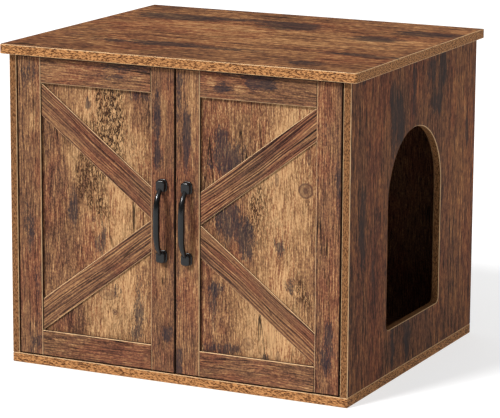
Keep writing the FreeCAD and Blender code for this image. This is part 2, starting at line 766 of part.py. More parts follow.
def make_catch():
    """A plastic housing under the top with a magnet for each door and a screw at each end."""
    ceiling = "(overall_height - top_thickness)"
    body = new_body("catch_housing")
    half = "(catch_width / 2)"
    ear = f"({half} + catch_ear_width)"
    outline = [(f"-{half}", "-catch_height"), (half, "-catch_height"), (half, "-catch_ear_height"),
               (ear, "-catch_ear_height"), (ear, "0"), (f"-{ear}", "0"),
               (f"-{ear}", "-catch_ear_height"), (f"-{half}", "-catch_ear_height")]
    pad(body, loop_sketch(body, "XZ_Plane", outline), "catch_depth", back=True)
    seats = [rectangle(f"{side} * magnet_spacing / 2 - magnet_width / 2",
                       f"{side} * magnet_spacing / 2 + magnet_width / 2",
                       "-(catch_height + magnet_height) / 2", "-(catch_height - magnet_height) / 2")
             for _, side in SIDES]
    pocket(body, loop_sketch(body, "XZ_Plane", *seats), "magnet_depth", back=False)
    screw_line = f"({half} + catch_ear_width / 2)"
    screws = [(f"{side} * {screw_line}", "catch_depth / 2") for _, side in SIDES]
    holes = polygon_sketch(body, "XY_Plane",
                           [(x, y, "small_screw_diameter + 2 * screw_play") for x, y in screws])
    pocket(body, holes, "catch_ear_height", back=False)
    place(body, y=CATCH_FRONT, z=ceiling)
    group("catch_magnets",
          [box(f"{side} * magnet_spacing / 2", f"{CATCH_FRONT} + (magnet_depth - magnet_proud) / 2",
               STRIKE_HEIGHT, "magnet_width - 2 * magnet_play", "magnet_depth + magnet_proud",
               "magnet_height - 2 * magnet_play") for _, side in SIDES])
    group("catch_screws",
          [joined([rod(x, f"{CATCH_FRONT} + {y}", f"{ceiling} - catch_ear_height",
                       "small_screw_diameter", "small_screw_length", "Z"),
                   rod(x, f"{CATCH_FRONT} + {y}",
                       f"{ceiling} - catch_ear_height - small_head_height",
                       "small_head_diameter", "small_head_height", "Z")])
           for x, y in screws])
    top = parts["top_panel"]
    pilots = polygon_sketch(top, "XY_Plane",
                            [(x, f"{CATCH_FRONT} + {y}", "small_screw_diameter + 2 * thread_play")
                             for x, y in screws])
    pocket(top, pilots, "small_screw_length - catch_ear_height + drill_extra", back=True)


# ---- concealed hinges
# Plan coordinates are (across, depth): across runs from the door's outer edge towards the middle
# of the cabinet and depth runs back from the door's back face. into turns across into X.

def plan(into, points):
    return [(f"{into} * ({across})", depth) for across, depth in points]


def strap(into, start, waist, end):
    """The plan outline of a bowed link, from its door pivot over its waist to its arm pivot."""
    half = "link_thickness / 2"
    lower = [(x, f"{y} - {half}") for x, y in (start, waist, end)]
    upper = [(x, f"{y} + {half}") for x, y in (end, waist, start)]
    return plan(into, lower + upper)


def eye_sketch(body, into, *centres):
    return polygon_sketch(body, "XY_Plane",
                          [(f"{into} * ({x})", y, "link_eye_diameter") for x, y in centres],
                          sides=EYE_SIDES)


def pin_sketch(body, into, centre, more=""):
    """The outline of a pin, or of its hole when more says how much wider that is."""
    return polygon_sketch(body, "XY_Plane",
                          [(f"{into} * ({centre[0]})", centre[1], f"pin_diameter {more}")],
                          sides=PIN_SIDES)


INNER_ARM = ("inner_link_arm_x", "(-inner_link_arm_depth)")
INNER_CUP = ("inner_link_cup_x", "(-inner_link_cup_depth)")
OUTER_ARM = ("outer_link_arm_x", "(-outer_link_arm_depth)")
OUTER_CUP = ("outer_link_cup_x", "(-outer_link_cup_depth)")
OUTER_LINK_HEIGHT = "(arm_height - 2 * arm_cheek - 2 * hinge_play)"
INNER_LINK_HEIGHT = f"({OUTER_LINK_HEIGHT} - 2 * outer_link_plate - 2 * hinge_play)"
BRACKET_SPAN = "(arm_height + 2 * hinge_play + 2 * cup_bracket)"


def make_inner_link(node):
    """The narrow link: a strap bowed round the outer link's pin on the arm."""
    body = new_body(node)
    into = hinge_side(node)
    waist = (OUTER_ARM[0], f"({OUTER_ARM[1]} + link_bow)")
    pad(body, eye_sketch(body, into, INNER_CUP, INNER_ARM),
        INNER_LINK_HEIGHT, both=True)
    pad(body, loop_sketch(body, "XY_Plane", strap(into, INNER_CUP, waist, INNER_ARM)),
        INNER_LINK_HEIGHT, both=True)
    for centre in (INNER_CUP, INNER_ARM):
        pocket(body, pin_sketch(body, into, centre, "+ 2 * pin_play"),
               "arm_height", both=True)
    return body


def make_outer_link(node):
    """The wide link: two plates bowed round the inner link's pin on the cup, joined by a sleeve
    on their own cup pin. That hole has the linkage's spare play."""
    body = new_body(node)
    into = hinge_side(node)
    waist = (INNER_CUP[0], f"({INNER_CUP[1]} + link_bow)")
    pad(body, eye_sketch(body, into, OUTER_CUP, OUTER_ARM),
        OUTER_LINK_HEIGHT, both=True)
    pad(body, loop_sketch(body, "XY_Plane", strap(into, OUTER_CUP, waist, OUTER_ARM)),
        OUTER_LINK_HEIGHT, both=True)
    slot_start = f"{OUTER_CUP[0]} + link_eye_diameter / 2"
    slot = rectangle(slot_start, f"{OUTER_ARM[0]} + link_eye_diameter",
                     f"{OUTER_ARM[1]} - link_eye_diameter", f"{OUTER_ARM[1]} + 2 * link_bow")
    pocket(body, loop_sketch(body, "XY_Plane", plan(into, slot)),
           f"{OUTER_LINK_HEIGHT} - 2 * outer_link_plate", both=True)
    for centre, play in ((OUTER_CUP, "open_pivot_play"), (OUTER_ARM, "pin_play")):
        pocket(body, pin_sketch(body, into, centre, f"+ 2 * {play}"),
               "arm_height", both=True)
    return body


def make_cup(node):
    """A pressed pot with screw wings, brackets and two pins."""
    body = new_body(node)
    into = hinge_side(node)
    radius = "(cup_diameter / 2)"
    inside = f"({radius} - cup_wall)"
    floor = "(cup_wall - cup_depth)"
    outside = polygon_sketch(body, "XZ_Plane", [("0", "0", "cup_diameter")], sides=CUP_SIDES)
    pad(body, outside, "cup_depth")
    shift = f"{into} * {CUP_CENTRE}"
    wing_near = f"{into} * (cup_wing_start - {CUP_CENTRE})"
    wing_far = f"{into} * (cup_wing_start + cup_wing_width - {CUP_CENTRE})"
    wings = [rectangle(wing_near, wing_far, f"{end} * {radius} * 0.6", f"{end} * cup_wing_span / 2")
             for end in (-1, 1)]
    pad(body, loop_sketch(body, "XZ_Plane", *wings), "cup_wing_thickness", back=True)
    hollow = polygon_sketch(body, "XZ_Plane", [("0", "0", f"2 * {inside}")],
                            offset="-cup_wing_thickness", sides=CUP_SIDES)
    pocket(body, hollow, "cup_wing_thickness + cup_depth - cup_wall", back=True)
    gap = "(arm_height / 2 + hinge_play)"
    bracket = rectangle(f"{into} * ({OUTER_CUP[0]} - link_eye_diameter / 2 - {CUP_CENTRE})",
                        f"{into} * ({INNER_CUP[0]} + link_eye_diameter / 2 - {CUP_CENTRE})",
                        f"{floor} - cup_wall / 2", f"{floor} + cup_bracket_rise")
    pad(body, loop_sketch(body, "XY_Plane", bracket), BRACKET_SPAN, both=True)
    clear = rectangle(f"{into} * ({OUTER_CUP[0]} - link_eye_diameter - {CUP_CENTRE})",
                      f"{into} * ({INNER_CUP[0]} + link_eye_diameter - {CUP_CENTRE})",
                      floor, "0")
    pocket(body, loop_sketch(body, "XY_Plane", clear), f"2 * {gap}", both=True)
    for across, depth in (OUTER_CUP, INNER_CUP):
        pad(body, pin_sketch(body, into, (f"{across} - {CUP_CENTRE}", depth)), BRACKET_SPAN,
            both=True)
    screws = [(f"{into} * (cup_wing_start + cup_wing_width / 2 - {CUP_CENTRE})",
               f"{end} * cup_screw_span / 2", "small_screw_diameter + 2 * screw_play")
              for end in (-1, 1)]
    pocket(body, polygon_sketch(body, "XZ_Plane", screws), "cup_wing_thickness", back=False)
    return body, shift


def make_arm(node):
    """The fixed arm: it stands on its plate, crosses behind the door's edge and dips into the
    cup, where two cheeks hold the pins of both links."""
    body = new_body(node)
    into = hinge_side(node)
    seat = "(arm_seat_height - door_side_gap)"
    leg_near = f"({INNER_ARM[0]} + link_eye_diameter / 2 + arm_leg_gap)"
    leg_far = f"({leg_near} + arm_leg_thickness)"
    tip_floor = "(cup_wall - cup_depth + arm_floor_gap)"
    crossbar_front = "(arm_crossbar_offset)"
    crossbar_back = "(arm_crossbar_offset + arm_crossbar_thickness)"
    path = [(seat, crossbar_front), (leg_near, crossbar_front), (leg_near, tip_floor),
            (leg_far, tip_floor), (leg_far, f"{crossbar_back} - arm_leg_thickness"),
            (f"{leg_far} - arm_leg_thickness", crossbar_back),
            (f"{seat} + arm_rear_thickness + arm_crossbar_thickness", crossbar_back),
            (f"{seat} + arm_rear_thickness", f"{crossbar_back} + arm_crossbar_thickness"),
            (f"{seat} + arm_rear_thickness", "arm_back_end"), (seat, "arm_back_end")]
    pad(body, loop_sketch(body, "XY_Plane", plan(into, path)), "arm_height", both=True)
    half_eye = "link_eye_diameter / 2"
    cheek = plan(into, [(OUTER_ARM[0], f"{OUTER_ARM[1]} - {half_eye}"),
                        (leg_near, f"{OUTER_ARM[1]} - {half_eye}"),
                        (leg_near, f"{OUTER_ARM[1]} + 2 * link_eye_diameter"),
                        (f"{leg_near} - link_eye_diameter / 4",
                         f"{OUTER_ARM[1]} + 2 * link_eye_diameter"),
                        (OUTER_ARM[0], f"{OUTER_ARM[1]} + {half_eye}")])
    pad(body, loop_sketch(body, "XY_Plane", cheek), "arm_height", both=True)
    pad(body, eye_sketch(body, into, OUTER_ARM), "arm_height", both=True)
    room = plan(into, rectangle(f"{OUTER_ARM[0]} - link_eye_diameter", leg_near,
                                "-cup_depth", crossbar_front))
    pocket(body, loop_sketch(body, "XY_Plane", room), "arm_height - 2 * arm_cheek", both=True)
    for centre in (OUTER_ARM, INNER_ARM):
        pad(body, pin_sketch(body, into, centre), "arm_height", both=True)
    screw = polygon_sketch(body, "YZ_Plane",
                           [(PLATE_MIDDLE, "0", "arm_screw_diameter + 2 * screw_play")])
    pocket(body, screw, f"2 * ({seat} + arm_rear_thickness)", both=True)
    return body


def make_plate(node):
    """The mounting plate: a raised seat for the arm and two wings that are screwed to the side."""
    body = new_body(node)
    into = hinge_side(node)
    face = "(-door_side_gap)"
    seat = f"({face} + arm_seat_height)"
    block = plan(into, rectangle(face, seat, "plate_front", "arm_back_end"))
    pad(body, loop_sketch(body, "XY_Plane", block), "arm_height", both=True)
    wing = plan(into, rectangle(face, f"{face} + plate_thickness", "plate_wing_front",
                                "plate_wing_front + plate_wing_width"))
    pad(body, loop_sketch(body, "XY_Plane", wing), "plate_wing_span", both=True)
    holes = [(PLATE_MIDDLE, f"{end} * plate_screw_span / 2",
              "small_screw_diameter + 2 * screw_play") for end in (-1, 1)]
    holes.append((PLATE_MIDDLE, "0", "arm_screw_diameter + 2 * thread_play"))
    pocket(body, polygon_sketch(body, "YZ_Plane", holes), f"2 * (arm_seat_height + door_side_gap)",
           both=True)
    return body


def hinge_side(node):
    """Which way a hinge's plan runs from the door's outer edge: +X on the left door."""
    return 1 if node.startswith("left") else -1


def cup_screw_places(side):
    line = f"({side} * ({DOOR_EDGE} - cup_wing_start - cup_wing_width / 2))"
    return [(line, f"({height} + {end} * cup_screw_span / 2)")
            for _, height in hinge_heights() for end in (-1, 1)]


def make_hinge_screws(name, side):
    """The cup's wood screws in the door, and the plate's and arm's screws at the side board."""
    group(f"{name}_cup_screws",
          [joined([rod(x, f"{DOOR_BACK} - small_screw_length", z, "small_screw_diameter",
                       "small_screw_length + cup_wing_thickness", "Y"),
                   rod(x, f"{DOOR_BACK} + cup_wing_thickness", z, "small_head_diameter",
                       "small_head_height", "Y")]) for x, z in cup_screw_places(side)])
    inner = f"({side} * {INNER_WIDTH} / 2)"
    y = f"({DOOR_BACK} + {PLATE_MIDDLE})"
    pieces = []
    for _, height in hinge_heights():
        for end in (-1, 1):
            z = f"({height} + {end} * plate_screw_span / 2)"
            pieces.append(side_screw(side, inner, y, z, "plate_thickness", "plate_screw_length",
                                     "small_screw_diameter", "small_head_diameter",
                                     "small_head_height"))
        pieces.append(side_screw(side, inner, y, height, "arm_seat_height + arm_rear_thickness",
                                 "0", "arm_screw_diameter", "arm_screw_head",
                                 "arm_screw_head_height"))
    group(f"{name}_plate_screws", pieces)


def side_screw(side, inner, y, z, proud, bite, diameter, head, head_height):
    """A screw along X whose head rests proud of the side board's inner face."""
    length = f"({proud} + {bite})"
    if side < 0:
        shank_start, head_start = f"{inner} - {bite}", f"{inner} + {proud}"
    else:
        shank_start, head_start = f"{inner} - ({proud})", f"{inner} - ({proud}) - {head_height}"
    return joined([rod(shank_start, y, z, diameter, length, "X"),
                   rod(head_start, y, z, head, head_height, "X")])


def make_hinges(name, side):
    edge = f"({side} * {DOOR_EDGE})"
    panel = parts[f"{name}_side_panel"]
    pilots = []
    for level, height in hinge_heights():
        stem = f"{name}_{level}_hinge"
        cup, shift = make_cup(f"{stem}_cup")
        place(cup, f"{edge} + {shift}", DOOR_BACK, height)
        for body in (make_inner_link(f"{stem}_inner_link"), make_outer_link(f"{stem}_outer_link"),
                     make_arm(f"{stem}_arm"), make_plate(f"{stem}_plate")):
            place(body, edge, DOOR_BACK, height)
        for end in (-1, 1):
            pilots.append((f"{DOOR_BACK} + {PLATE_MIDDLE}",
                           f"{height} + {end} * plate_screw_span / 2 - base_thickness",
                           "small_screw_diameter + 2 * thread_play"))
    sketch = polygon_sketch(panel, "YZ_Plane", pilots, offset=f"{-side} * side_thickness")
    pocket(panel, sketch, "plate_screw_length + drill_extra", back=side > 0)
    make_hinge_screws(name, side)


def check_model():
    """Stop before anything is written if a feature failed or a cut took nothing away."""
    faults = [f"{item.Name} in {item.getParentGeoFeatureGroup()}" for item in doc.Objects
              if "Invalid" in item.State or "Error" in item.State]
    if faults:
        raise RuntimeError("failed: " + "; ".join(faults))
    for cut in cuts:
        if cut.BaseFeature.Shape.Volume - cut.Shape.Volume < 0.01:
            faults.append(f"{cut.Name} of {cut.getParentGeoFeatureGroup().Label} cuts nothing")
    for node, thing in parts.items():
        if thing.Shape.isNull() or not thing.Shape.isValid() or not thing.Shape.Solids:
            faults.append(f"{node} has no valid solid")
    if faults:
        raise RuntimeError("; ".join(faults))


make_top()
make_base()
for side_name, side_sign in SIDES:
    make_side(side_name, side_sign)
make_back()
make_fittings()
for side_name, side_sign in SIDES:
    make_door(side_name, side_sign)
    make_hinges(side_name, side_sign)
make_catch()

doc.recompute()
check_model()
os.makedirs("parts", exist_ok=True)
for node, thing in parts.items():
    thing.Shape.exportStep(f"parts/{node}.step")
print(len(parts), "nodes written")
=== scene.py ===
import math

import bmesh
import bpy
from mathutils import Matrix, Vector


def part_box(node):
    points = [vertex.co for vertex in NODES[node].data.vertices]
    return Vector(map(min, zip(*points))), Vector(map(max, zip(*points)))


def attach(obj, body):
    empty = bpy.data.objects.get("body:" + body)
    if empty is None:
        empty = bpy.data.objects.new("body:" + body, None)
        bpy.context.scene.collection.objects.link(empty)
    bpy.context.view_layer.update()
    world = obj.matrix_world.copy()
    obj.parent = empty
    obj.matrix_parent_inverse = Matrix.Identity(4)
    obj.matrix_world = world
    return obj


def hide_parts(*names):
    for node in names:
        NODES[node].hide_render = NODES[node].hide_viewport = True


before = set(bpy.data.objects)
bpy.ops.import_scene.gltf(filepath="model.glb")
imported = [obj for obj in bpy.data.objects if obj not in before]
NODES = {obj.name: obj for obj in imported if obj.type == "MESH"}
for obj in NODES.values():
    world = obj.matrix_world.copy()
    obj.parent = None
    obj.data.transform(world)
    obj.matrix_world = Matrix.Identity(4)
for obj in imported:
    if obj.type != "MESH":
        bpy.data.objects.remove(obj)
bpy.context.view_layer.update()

# Metres, in the row frame: X to the right, Y to the back, Z up, the doors face -Y.
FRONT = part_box("base_panel")[0][1]
DOORS = ("left", "right")


# ---- shader nodes

class Graph:
    """Makes and joins shader nodes. A value may be a number, a tuple or another node's socket."""

    def __init__(self, tree):
        self.tree = tree

    def node(self, kind, *values, **settings):
        made = self.tree.nodes.new(kind)
        for name, setting in settings.items():
            setattr(made, name, setting)
        for socket, value in zip(made.inputs, values):
            self.feed(socket, value)
        return made

    def feed(self, socket, value):
        if value is None:
            return
        if isinstance(value, bpy.types.NodeSocket):
            self.tree.links.new(value, socket)
        else:
            socket.default_value = value

    def math(self, operation, *values, clamp=False):
        return self.node("ShaderNodeMath", *values, operation=operation,
                         use_clamp=clamp).outputs[0]

    def vector(self, operation, *values):
        made = self.node("ShaderNodeVectorMath", operation=operation)
        sockets = [made.inputs[0], made.inputs["Scale"]] if operation == "SCALE" else made.inputs
        for socket, value in zip(sockets, values):
            self.feed(socket, value)
        return made.outputs["Value" if operation in ("LENGTH", "DOT_PRODUCT") else "Vector"]

    def remap(self, value, low, high, to_low=0.0, to_high=1.0, smooth=True):
        kind = "SMOOTHSTEP" if smooth else "LINEAR"
        return self.node("ShaderNodeMapRange", value, low, high, to_low, to_high,
                         interpolation_type=kind).outputs[0]

    def noise(self, vector, detail=2.0, roughness=0.5):
        made = self.node("ShaderNodeTexNoise")
        self.feed(made.inputs["Vector"], vector)
        self.feed(made.inputs["Scale"], 1.0)
        self.feed(made.inputs["Detail"], detail)
        self.feed(made.inputs["Roughness"], roughness)
        return made.outputs[0]

    def mix(self, factor, first, second, blend="MIX"):
        made = self.node("ShaderNodeMix", data_type="RGBA", blend_type=blend)
        self.feed(made.inputs["Factor"], factor)
        self.feed(made.inputs[6], first)
        self.feed(made.inputs[7], second)
        return made.outputs[2]

    def ramp(self, value, stops):
        made = self.node("ShaderNodeValToRGB", value)
        elements = made.color_ramp.elements
        while len(elements) < len(stops):
            elements.new(1.0)
        for element, (position, colour) in zip(elements, stops):
            element.position = position
            element.color = (*colour, 1.0)
        return made.outputs[0]

    def split(self, vector):
        return self.node("ShaderNodeSeparateXYZ", vector).outputs

    def join(self, x, y, z):
        return self.node("ShaderNodeCombineXYZ", x, y, z).outputs[0]


def new_group(name, inputs, outputs):
    """A node group; inputs and outputs are (name, kind, default) and (name, kind)."""
    tree = bpy.data.node_groups.new(name, "ShaderNodeTree")
    for socket_name, kind, default in inputs:
        socket = tree.interface.new_socket(socket_name, in_out="INPUT", socket_type=kind)
        if default is not None:
            socket.default_value = default
    for socket_name, kind in outputs:
        tree.interface.new_socket(socket_name, in_out="OUTPUT", socket_type=kind)
    graph = Graph(tree)
    return graph, graph.node("NodeGroupInput").outputs, graph.node("NodeGroupOutput").inputs


def new_material(name):
    material = bpy.data.materials.new(name)
    material.use_nodes = True
    material.node_tree.nodes.clear()
    graph = Graph(material.node_tree)
    shader = graph.node("ShaderNodeBsdfPrincipled")
    output = graph.node("ShaderNodeOutputMaterial")
    graph.feed(output.inputs["Surface"], shader.outputs[0])
    return material, graph, shader


def bump(graph, shader, height, distance, strength=1.0):
    made = graph.node("ShaderNodeBump")
    graph.feed(made.inputs["Strength"], strength)
    graph.feed(made.inputs["Distance"], distance)
    graph.feed(made.inputs["Height"], height)
    graph.feed(shader.inputs["Normal"], made.outputs[0])


# ---- the rustic board print

FLOAT, VECTOR, COLOUR = "NodeSocketFloat", "NodeSocketVector", "NodeSocketColor"

PRINT_TONES = [
    (0.00, (0.018, 0.010, 0.008)),
    (0.20, (0.060, 0.032, 0.022)),
    (0.40, (0.122, 0.058, 0.034)),
    (0.60, (0.188, 0.093, 0.046)),
    (0.80, (0.292, 0.158, 0.072)),
    (1.00, (0.420, 0.250, 0.122)),
]
STAIN_COLOUR = (0.015, 0.016, 0.022, 1.0)
SPECK_COLOUR = (0.034, 0.016, 0.009, 1.0)
CRACK_COLOUR = (0.010, 0.006, 0.005, 1.0)
FLECK_COLOUR = (0.400, 0.210, 0.095, 1.0)
RED_SHIFT = (1.03, 0.83, 0.85, 1.0)
WARM_SHIFT = (1.05, 0.82, 0.62, 1.0)
LEVEL_BAND = ((220.0, 220.0, 760.0), (0.070, 0.025, 0.010), (0.430, 0.200, 0.074))
UPRIGHT_BAND = ((760.0, 760.0, 220.0), (0.060, 0.024, 0.010), (0.240, 0.112, 0.046))
ARRIS_COLOUR = (0.600, 0.390, 0.210, 1.0)
# Painted shade: near black on the door pieces' edge faces and gap-side arrises, where the gaps and
# the strips' sides lie in shadow.
PAINTED_EDGE_SHADE = (0.020, 0.012, 0.009, 1.0)
KNOT_COLOUR = (0.060, 0.029, 0.022, 1.0)

# Matt printed board and hardboard hardly mirror; the printed relief is shallow (metres).
BOARD_SPECULAR = 0.03
BACK_SPECULAR = 0.05
PRINT_RELIEF = 0.00025
FIBRE_RELIEF = 0.0001

# Below this share of a face-on normal a surface counts as the board's edge.
EDGE_FACING = 0.3


def make_print_group():
    """The printed face. Grain has X across the grain, Y along it and Z as the board's own seed,
    in metres. Tone, Stain and Speck are masks worked out by the board."""
    graph, given, gives = new_group(
        "board_print",
        [("Grain", VECTOR, None), ("Tone", FLOAT, 0.5), ("Stain", FLOAT, 0.0),
         ("Speck", FLOAT, 0.5), ("Lines", FLOAT, 0.0), ("Warm", FLOAT, 0.0)],
        [("Colour", COLOUR), ("Height", FLOAT)])
    grain, tone_in, stain_in, speck_in, lines, warm = given[:6]
    wander = graph.noise(graph.vector("MULTIPLY", grain, (14.0, 5.0, 14.0)), 2.0)
    drift = graph.math("MULTIPLY", graph.math("SUBTRACT", wander, 0.5), 0.016)
    bent = graph.vector("ADD", grain, graph.join(drift, 0.0, 0.0))

    def stretched(across, along, detail=2.0, roughness=0.5, source=bent):
        return graph.noise(graph.vector("MULTIPLY", source, (across, along, across)),
                           detail, roughness)

    def sway(noise, amount):
        return graph.math("MULTIPLY", graph.math("SUBTRACT", noise, 0.5), amount)

    def add(*values):
        total = values[0]
        for value in values[1:]:
            total = graph.math("ADD", total, value)
        return total

    cloud = stretched(15.0, 5.0, 4.0, 0.6)
    streak = stretched(110.0, 7.0, 3.0, 0.6)
    grain_lines = stretched(640.0, 42.0, 2.0, 0.7)
    mottle = stretched(520.0, 260.0, 2.0, 0.7)
    ripple = stretched(560.0, 3.2, 2.0, 0.7)
    restless = add(sway(cloud, 0.30), sway(streak, 0.30), sway(mottle, 1.25),
                   sway(grain_lines, 1.90))
    calm = graph.math("SUBTRACT", 1.0, graph.math("MULTIPLY", lines, 0.62))
    phase = graph.math("ADD", graph.math("MULTIPLY", graph.split(bent)[0], 1500.0),
                       sway(stretched(90.0, 3.0), 16.0))
    combed = graph.math("MULTIPLY", graph.math("SINE", phase), 0.20)
    drawn = graph.math("MULTIPLY", add(sway(ripple, 2.2), combed), lines)
    tone = add(tone_in, graph.math("MULTIPLY", restless, calm), drawn)
    colour = graph.ramp(tone, PRINT_TONES)
    redness = graph.remap(stretched(20.0, 8.0, 3.0, 0.6, graph.vector("ADD", bent, (1.9, 4.4, 0.0))),
                          0.42, 0.62)
    redness = graph.math("MULTIPLY", redness, graph.remap(tone, 0.95, 0.50))
    colour = graph.mix(redness, colour, graph.mix(1.0, colour, RED_SHIFT, "MULTIPLY"))

    fibre = stretched(900.0, 40.0, 3.0, 0.65)
    shade = graph.remap(fibre, 0.28, 0.72, 0.55, 1.46, smooth=False)
    colour = graph.mix(1.0, colour, shade, "MULTIPLY")

    specks = stretched(760.0, 165.0, 2.0, 0.75)
    where = stretched(26.0, 11.0, 3.0, 0.6)
    amount = graph.math("MULTIPLY", graph.remap(where, 0.36, 0.60), speck_in)
    speck = graph.math("MULTIPLY", graph.remap(specks, 0.47, 0.53), amount)
    colour = graph.mix(graph.math("MULTIPLY", speck, 0.85), colour, SPECK_COLOUR)
    fleck_place = graph.vector("ADD", bent, (3.1, 1.7, 0.0))
    flecks = stretched(500.0, 160.0, 2.0, 0.6, fleck_place)
    fleck_zone = stretched(30.0, 9.0, 2.0, 0.5, fleck_place)
    fleck = graph.math("MULTIPLY", graph.remap(flecks, 0.58, 0.68),
                       graph.remap(fleck_zone, 0.46, 0.62))
    colour = graph.mix(graph.math("MULTIPLY", fleck, 0.45), colour, FLECK_COLOUR)

    stain_place = graph.vector("ADD", bent, (5.3, 2.9, 0.0))
    blot = stretched(22.0, 6.0, 5.0, 0.65, stain_place)
    veins = stretched(120.0, 14.0, 4.0, 0.7, stain_place)
    field = add(stain_in, sway(blot, 1.9), sway(veins, 2.2), sway(specks, 2.2),
                sway(grain_lines, 1.2))
    stain = graph.remap(field, 0.74, 1.20)
    depth = graph.math("MULTIPLY", stain, graph.remap(fibre, 0.3, 0.7, 0.95, 0.50, smooth=False))
    colour = graph.mix(depth, colour, STAIN_COLOUR)

    ridge = stretched(34.0, 1.7, 2.0, 0.4, graph.vector("ADD", bent, (8.7, 0.6, 0.0)))
    thin = graph.math("ABSOLUTE", graph.math("SUBTRACT", ridge, 0.5))
    zone = graph.remap(stretched(7.0, 9.0, 2.0, 0.5, fleck_place), 0.54, 0.60)
    crack = graph.math("MULTIPLY", graph.remap(thin, 0.009, 0.004), zone)
    colour = graph.mix(graph.math("MULTIPLY", crack, 0.85), colour, CRACK_COLOUR)
    colour = graph.mix(warm, colour, graph.mix(1.0, colour, WARM_SHIFT, "MULTIPLY"))

    height = graph.math("ADD", graph.math("MULTIPLY", fibre, 0.5),
                        graph.math("MULTIPLY", ripple, lines))
    height = graph.math("SUBTRACT", height, graph.math("MULTIPLY", crack, 0.8))
    height = graph.math("SUBTRACT", height, graph.math("MULTIPLY", speck, 0.3))
    graph.feed(gives["Colour"], colour)
    graph.feed(gives["Height"], height)
    return graph.tree


def make_patch_group():
    """A soft oval mask at Centre, of half size Size; the place that it is given is ragged."""
    graph, given, gives = new_group(
        "patch", [("Place", VECTOR, None), ("Centre", VECTOR, None), ("Size", VECTOR, None)],
        [("Mask", FLOAT)])
    away = graph.vector("DIVIDE", graph.vector("SUBTRACT", given["Place"], given["Centre"]),
                        given["Size"])
    graph.feed(gives["Mask"], graph.remap(graph.vector("LENGTH", away), 1.5, 0.3))
    return graph.tree


def make_knot_group():
    """A knot at Centre: a dark ringed core, and faint rings in the wood round it."""
    graph, given, gives = new_group(
        "knot", [("Place", VECTOR, None), ("Centre", VECTOR, None), ("Size", VECTOR, None)],
        [("Mask", FLOAT)])
    away = graph.vector("LENGTH", graph.vector(
        "DIVIDE", graph.vector("SUBTRACT", given["Place"], given["Centre"]), given["Size"]))
    rings = graph.math("SINE", graph.math("MULTIPLY", away, 7.0))
    core = graph.remap(away, 1.25, 1.0)
    inner = graph.math("MULTIPLY", core, graph.remap(rings, -1.0, 1.0, 0.45, 0.90))
    outer = graph.math("MULTIPLY", graph.remap(away, 2.4, 1.1),
                       graph.remap(rings, 0.2, 1.0, 0.0, 0.13))
    graph.feed(gives["Mask"], graph.math("MAXIMUM", inner, outer))
    return graph.tree


PRINT_GROUP = make_print_group()
PATCH_GROUP = make_patch_group()
KNOT_GROUP = make_knot_group()


class Board:
    """What one board's print looks like. across and along are the row frame's directions over
    and with the grain. patches are (kind, across, along, half across, half along, strength).
    worn is the way that its light, worn arris faces; its other arrises get the painted edge shade,
    dark as the shadowed gaps. coarse stretches the figure across and along the grain."""

    def __init__(self, across, along, tone, stain=0.15, speck=0.5, lines=0.0, patches=(),
                 band=None, worn=None, coarse=(1.0, 1.0), warm=0.1):
        self.across = across
        self.along = along
        self.tone = tone
        self.stain = stain
        self.speck = speck
        self.lines = lines
        self.patches = patches
        self.band = band
        self.worn = worn
        self.coarse = coarse
        self.warm = warm


def use_group(graph, tree, **values):
    made = graph.node("ShaderNodeGroup")
    made.node_tree = tree
    for name, value in values.items():
        graph.feed(made.inputs[name.replace("_", " ")], value)
    return made.outputs


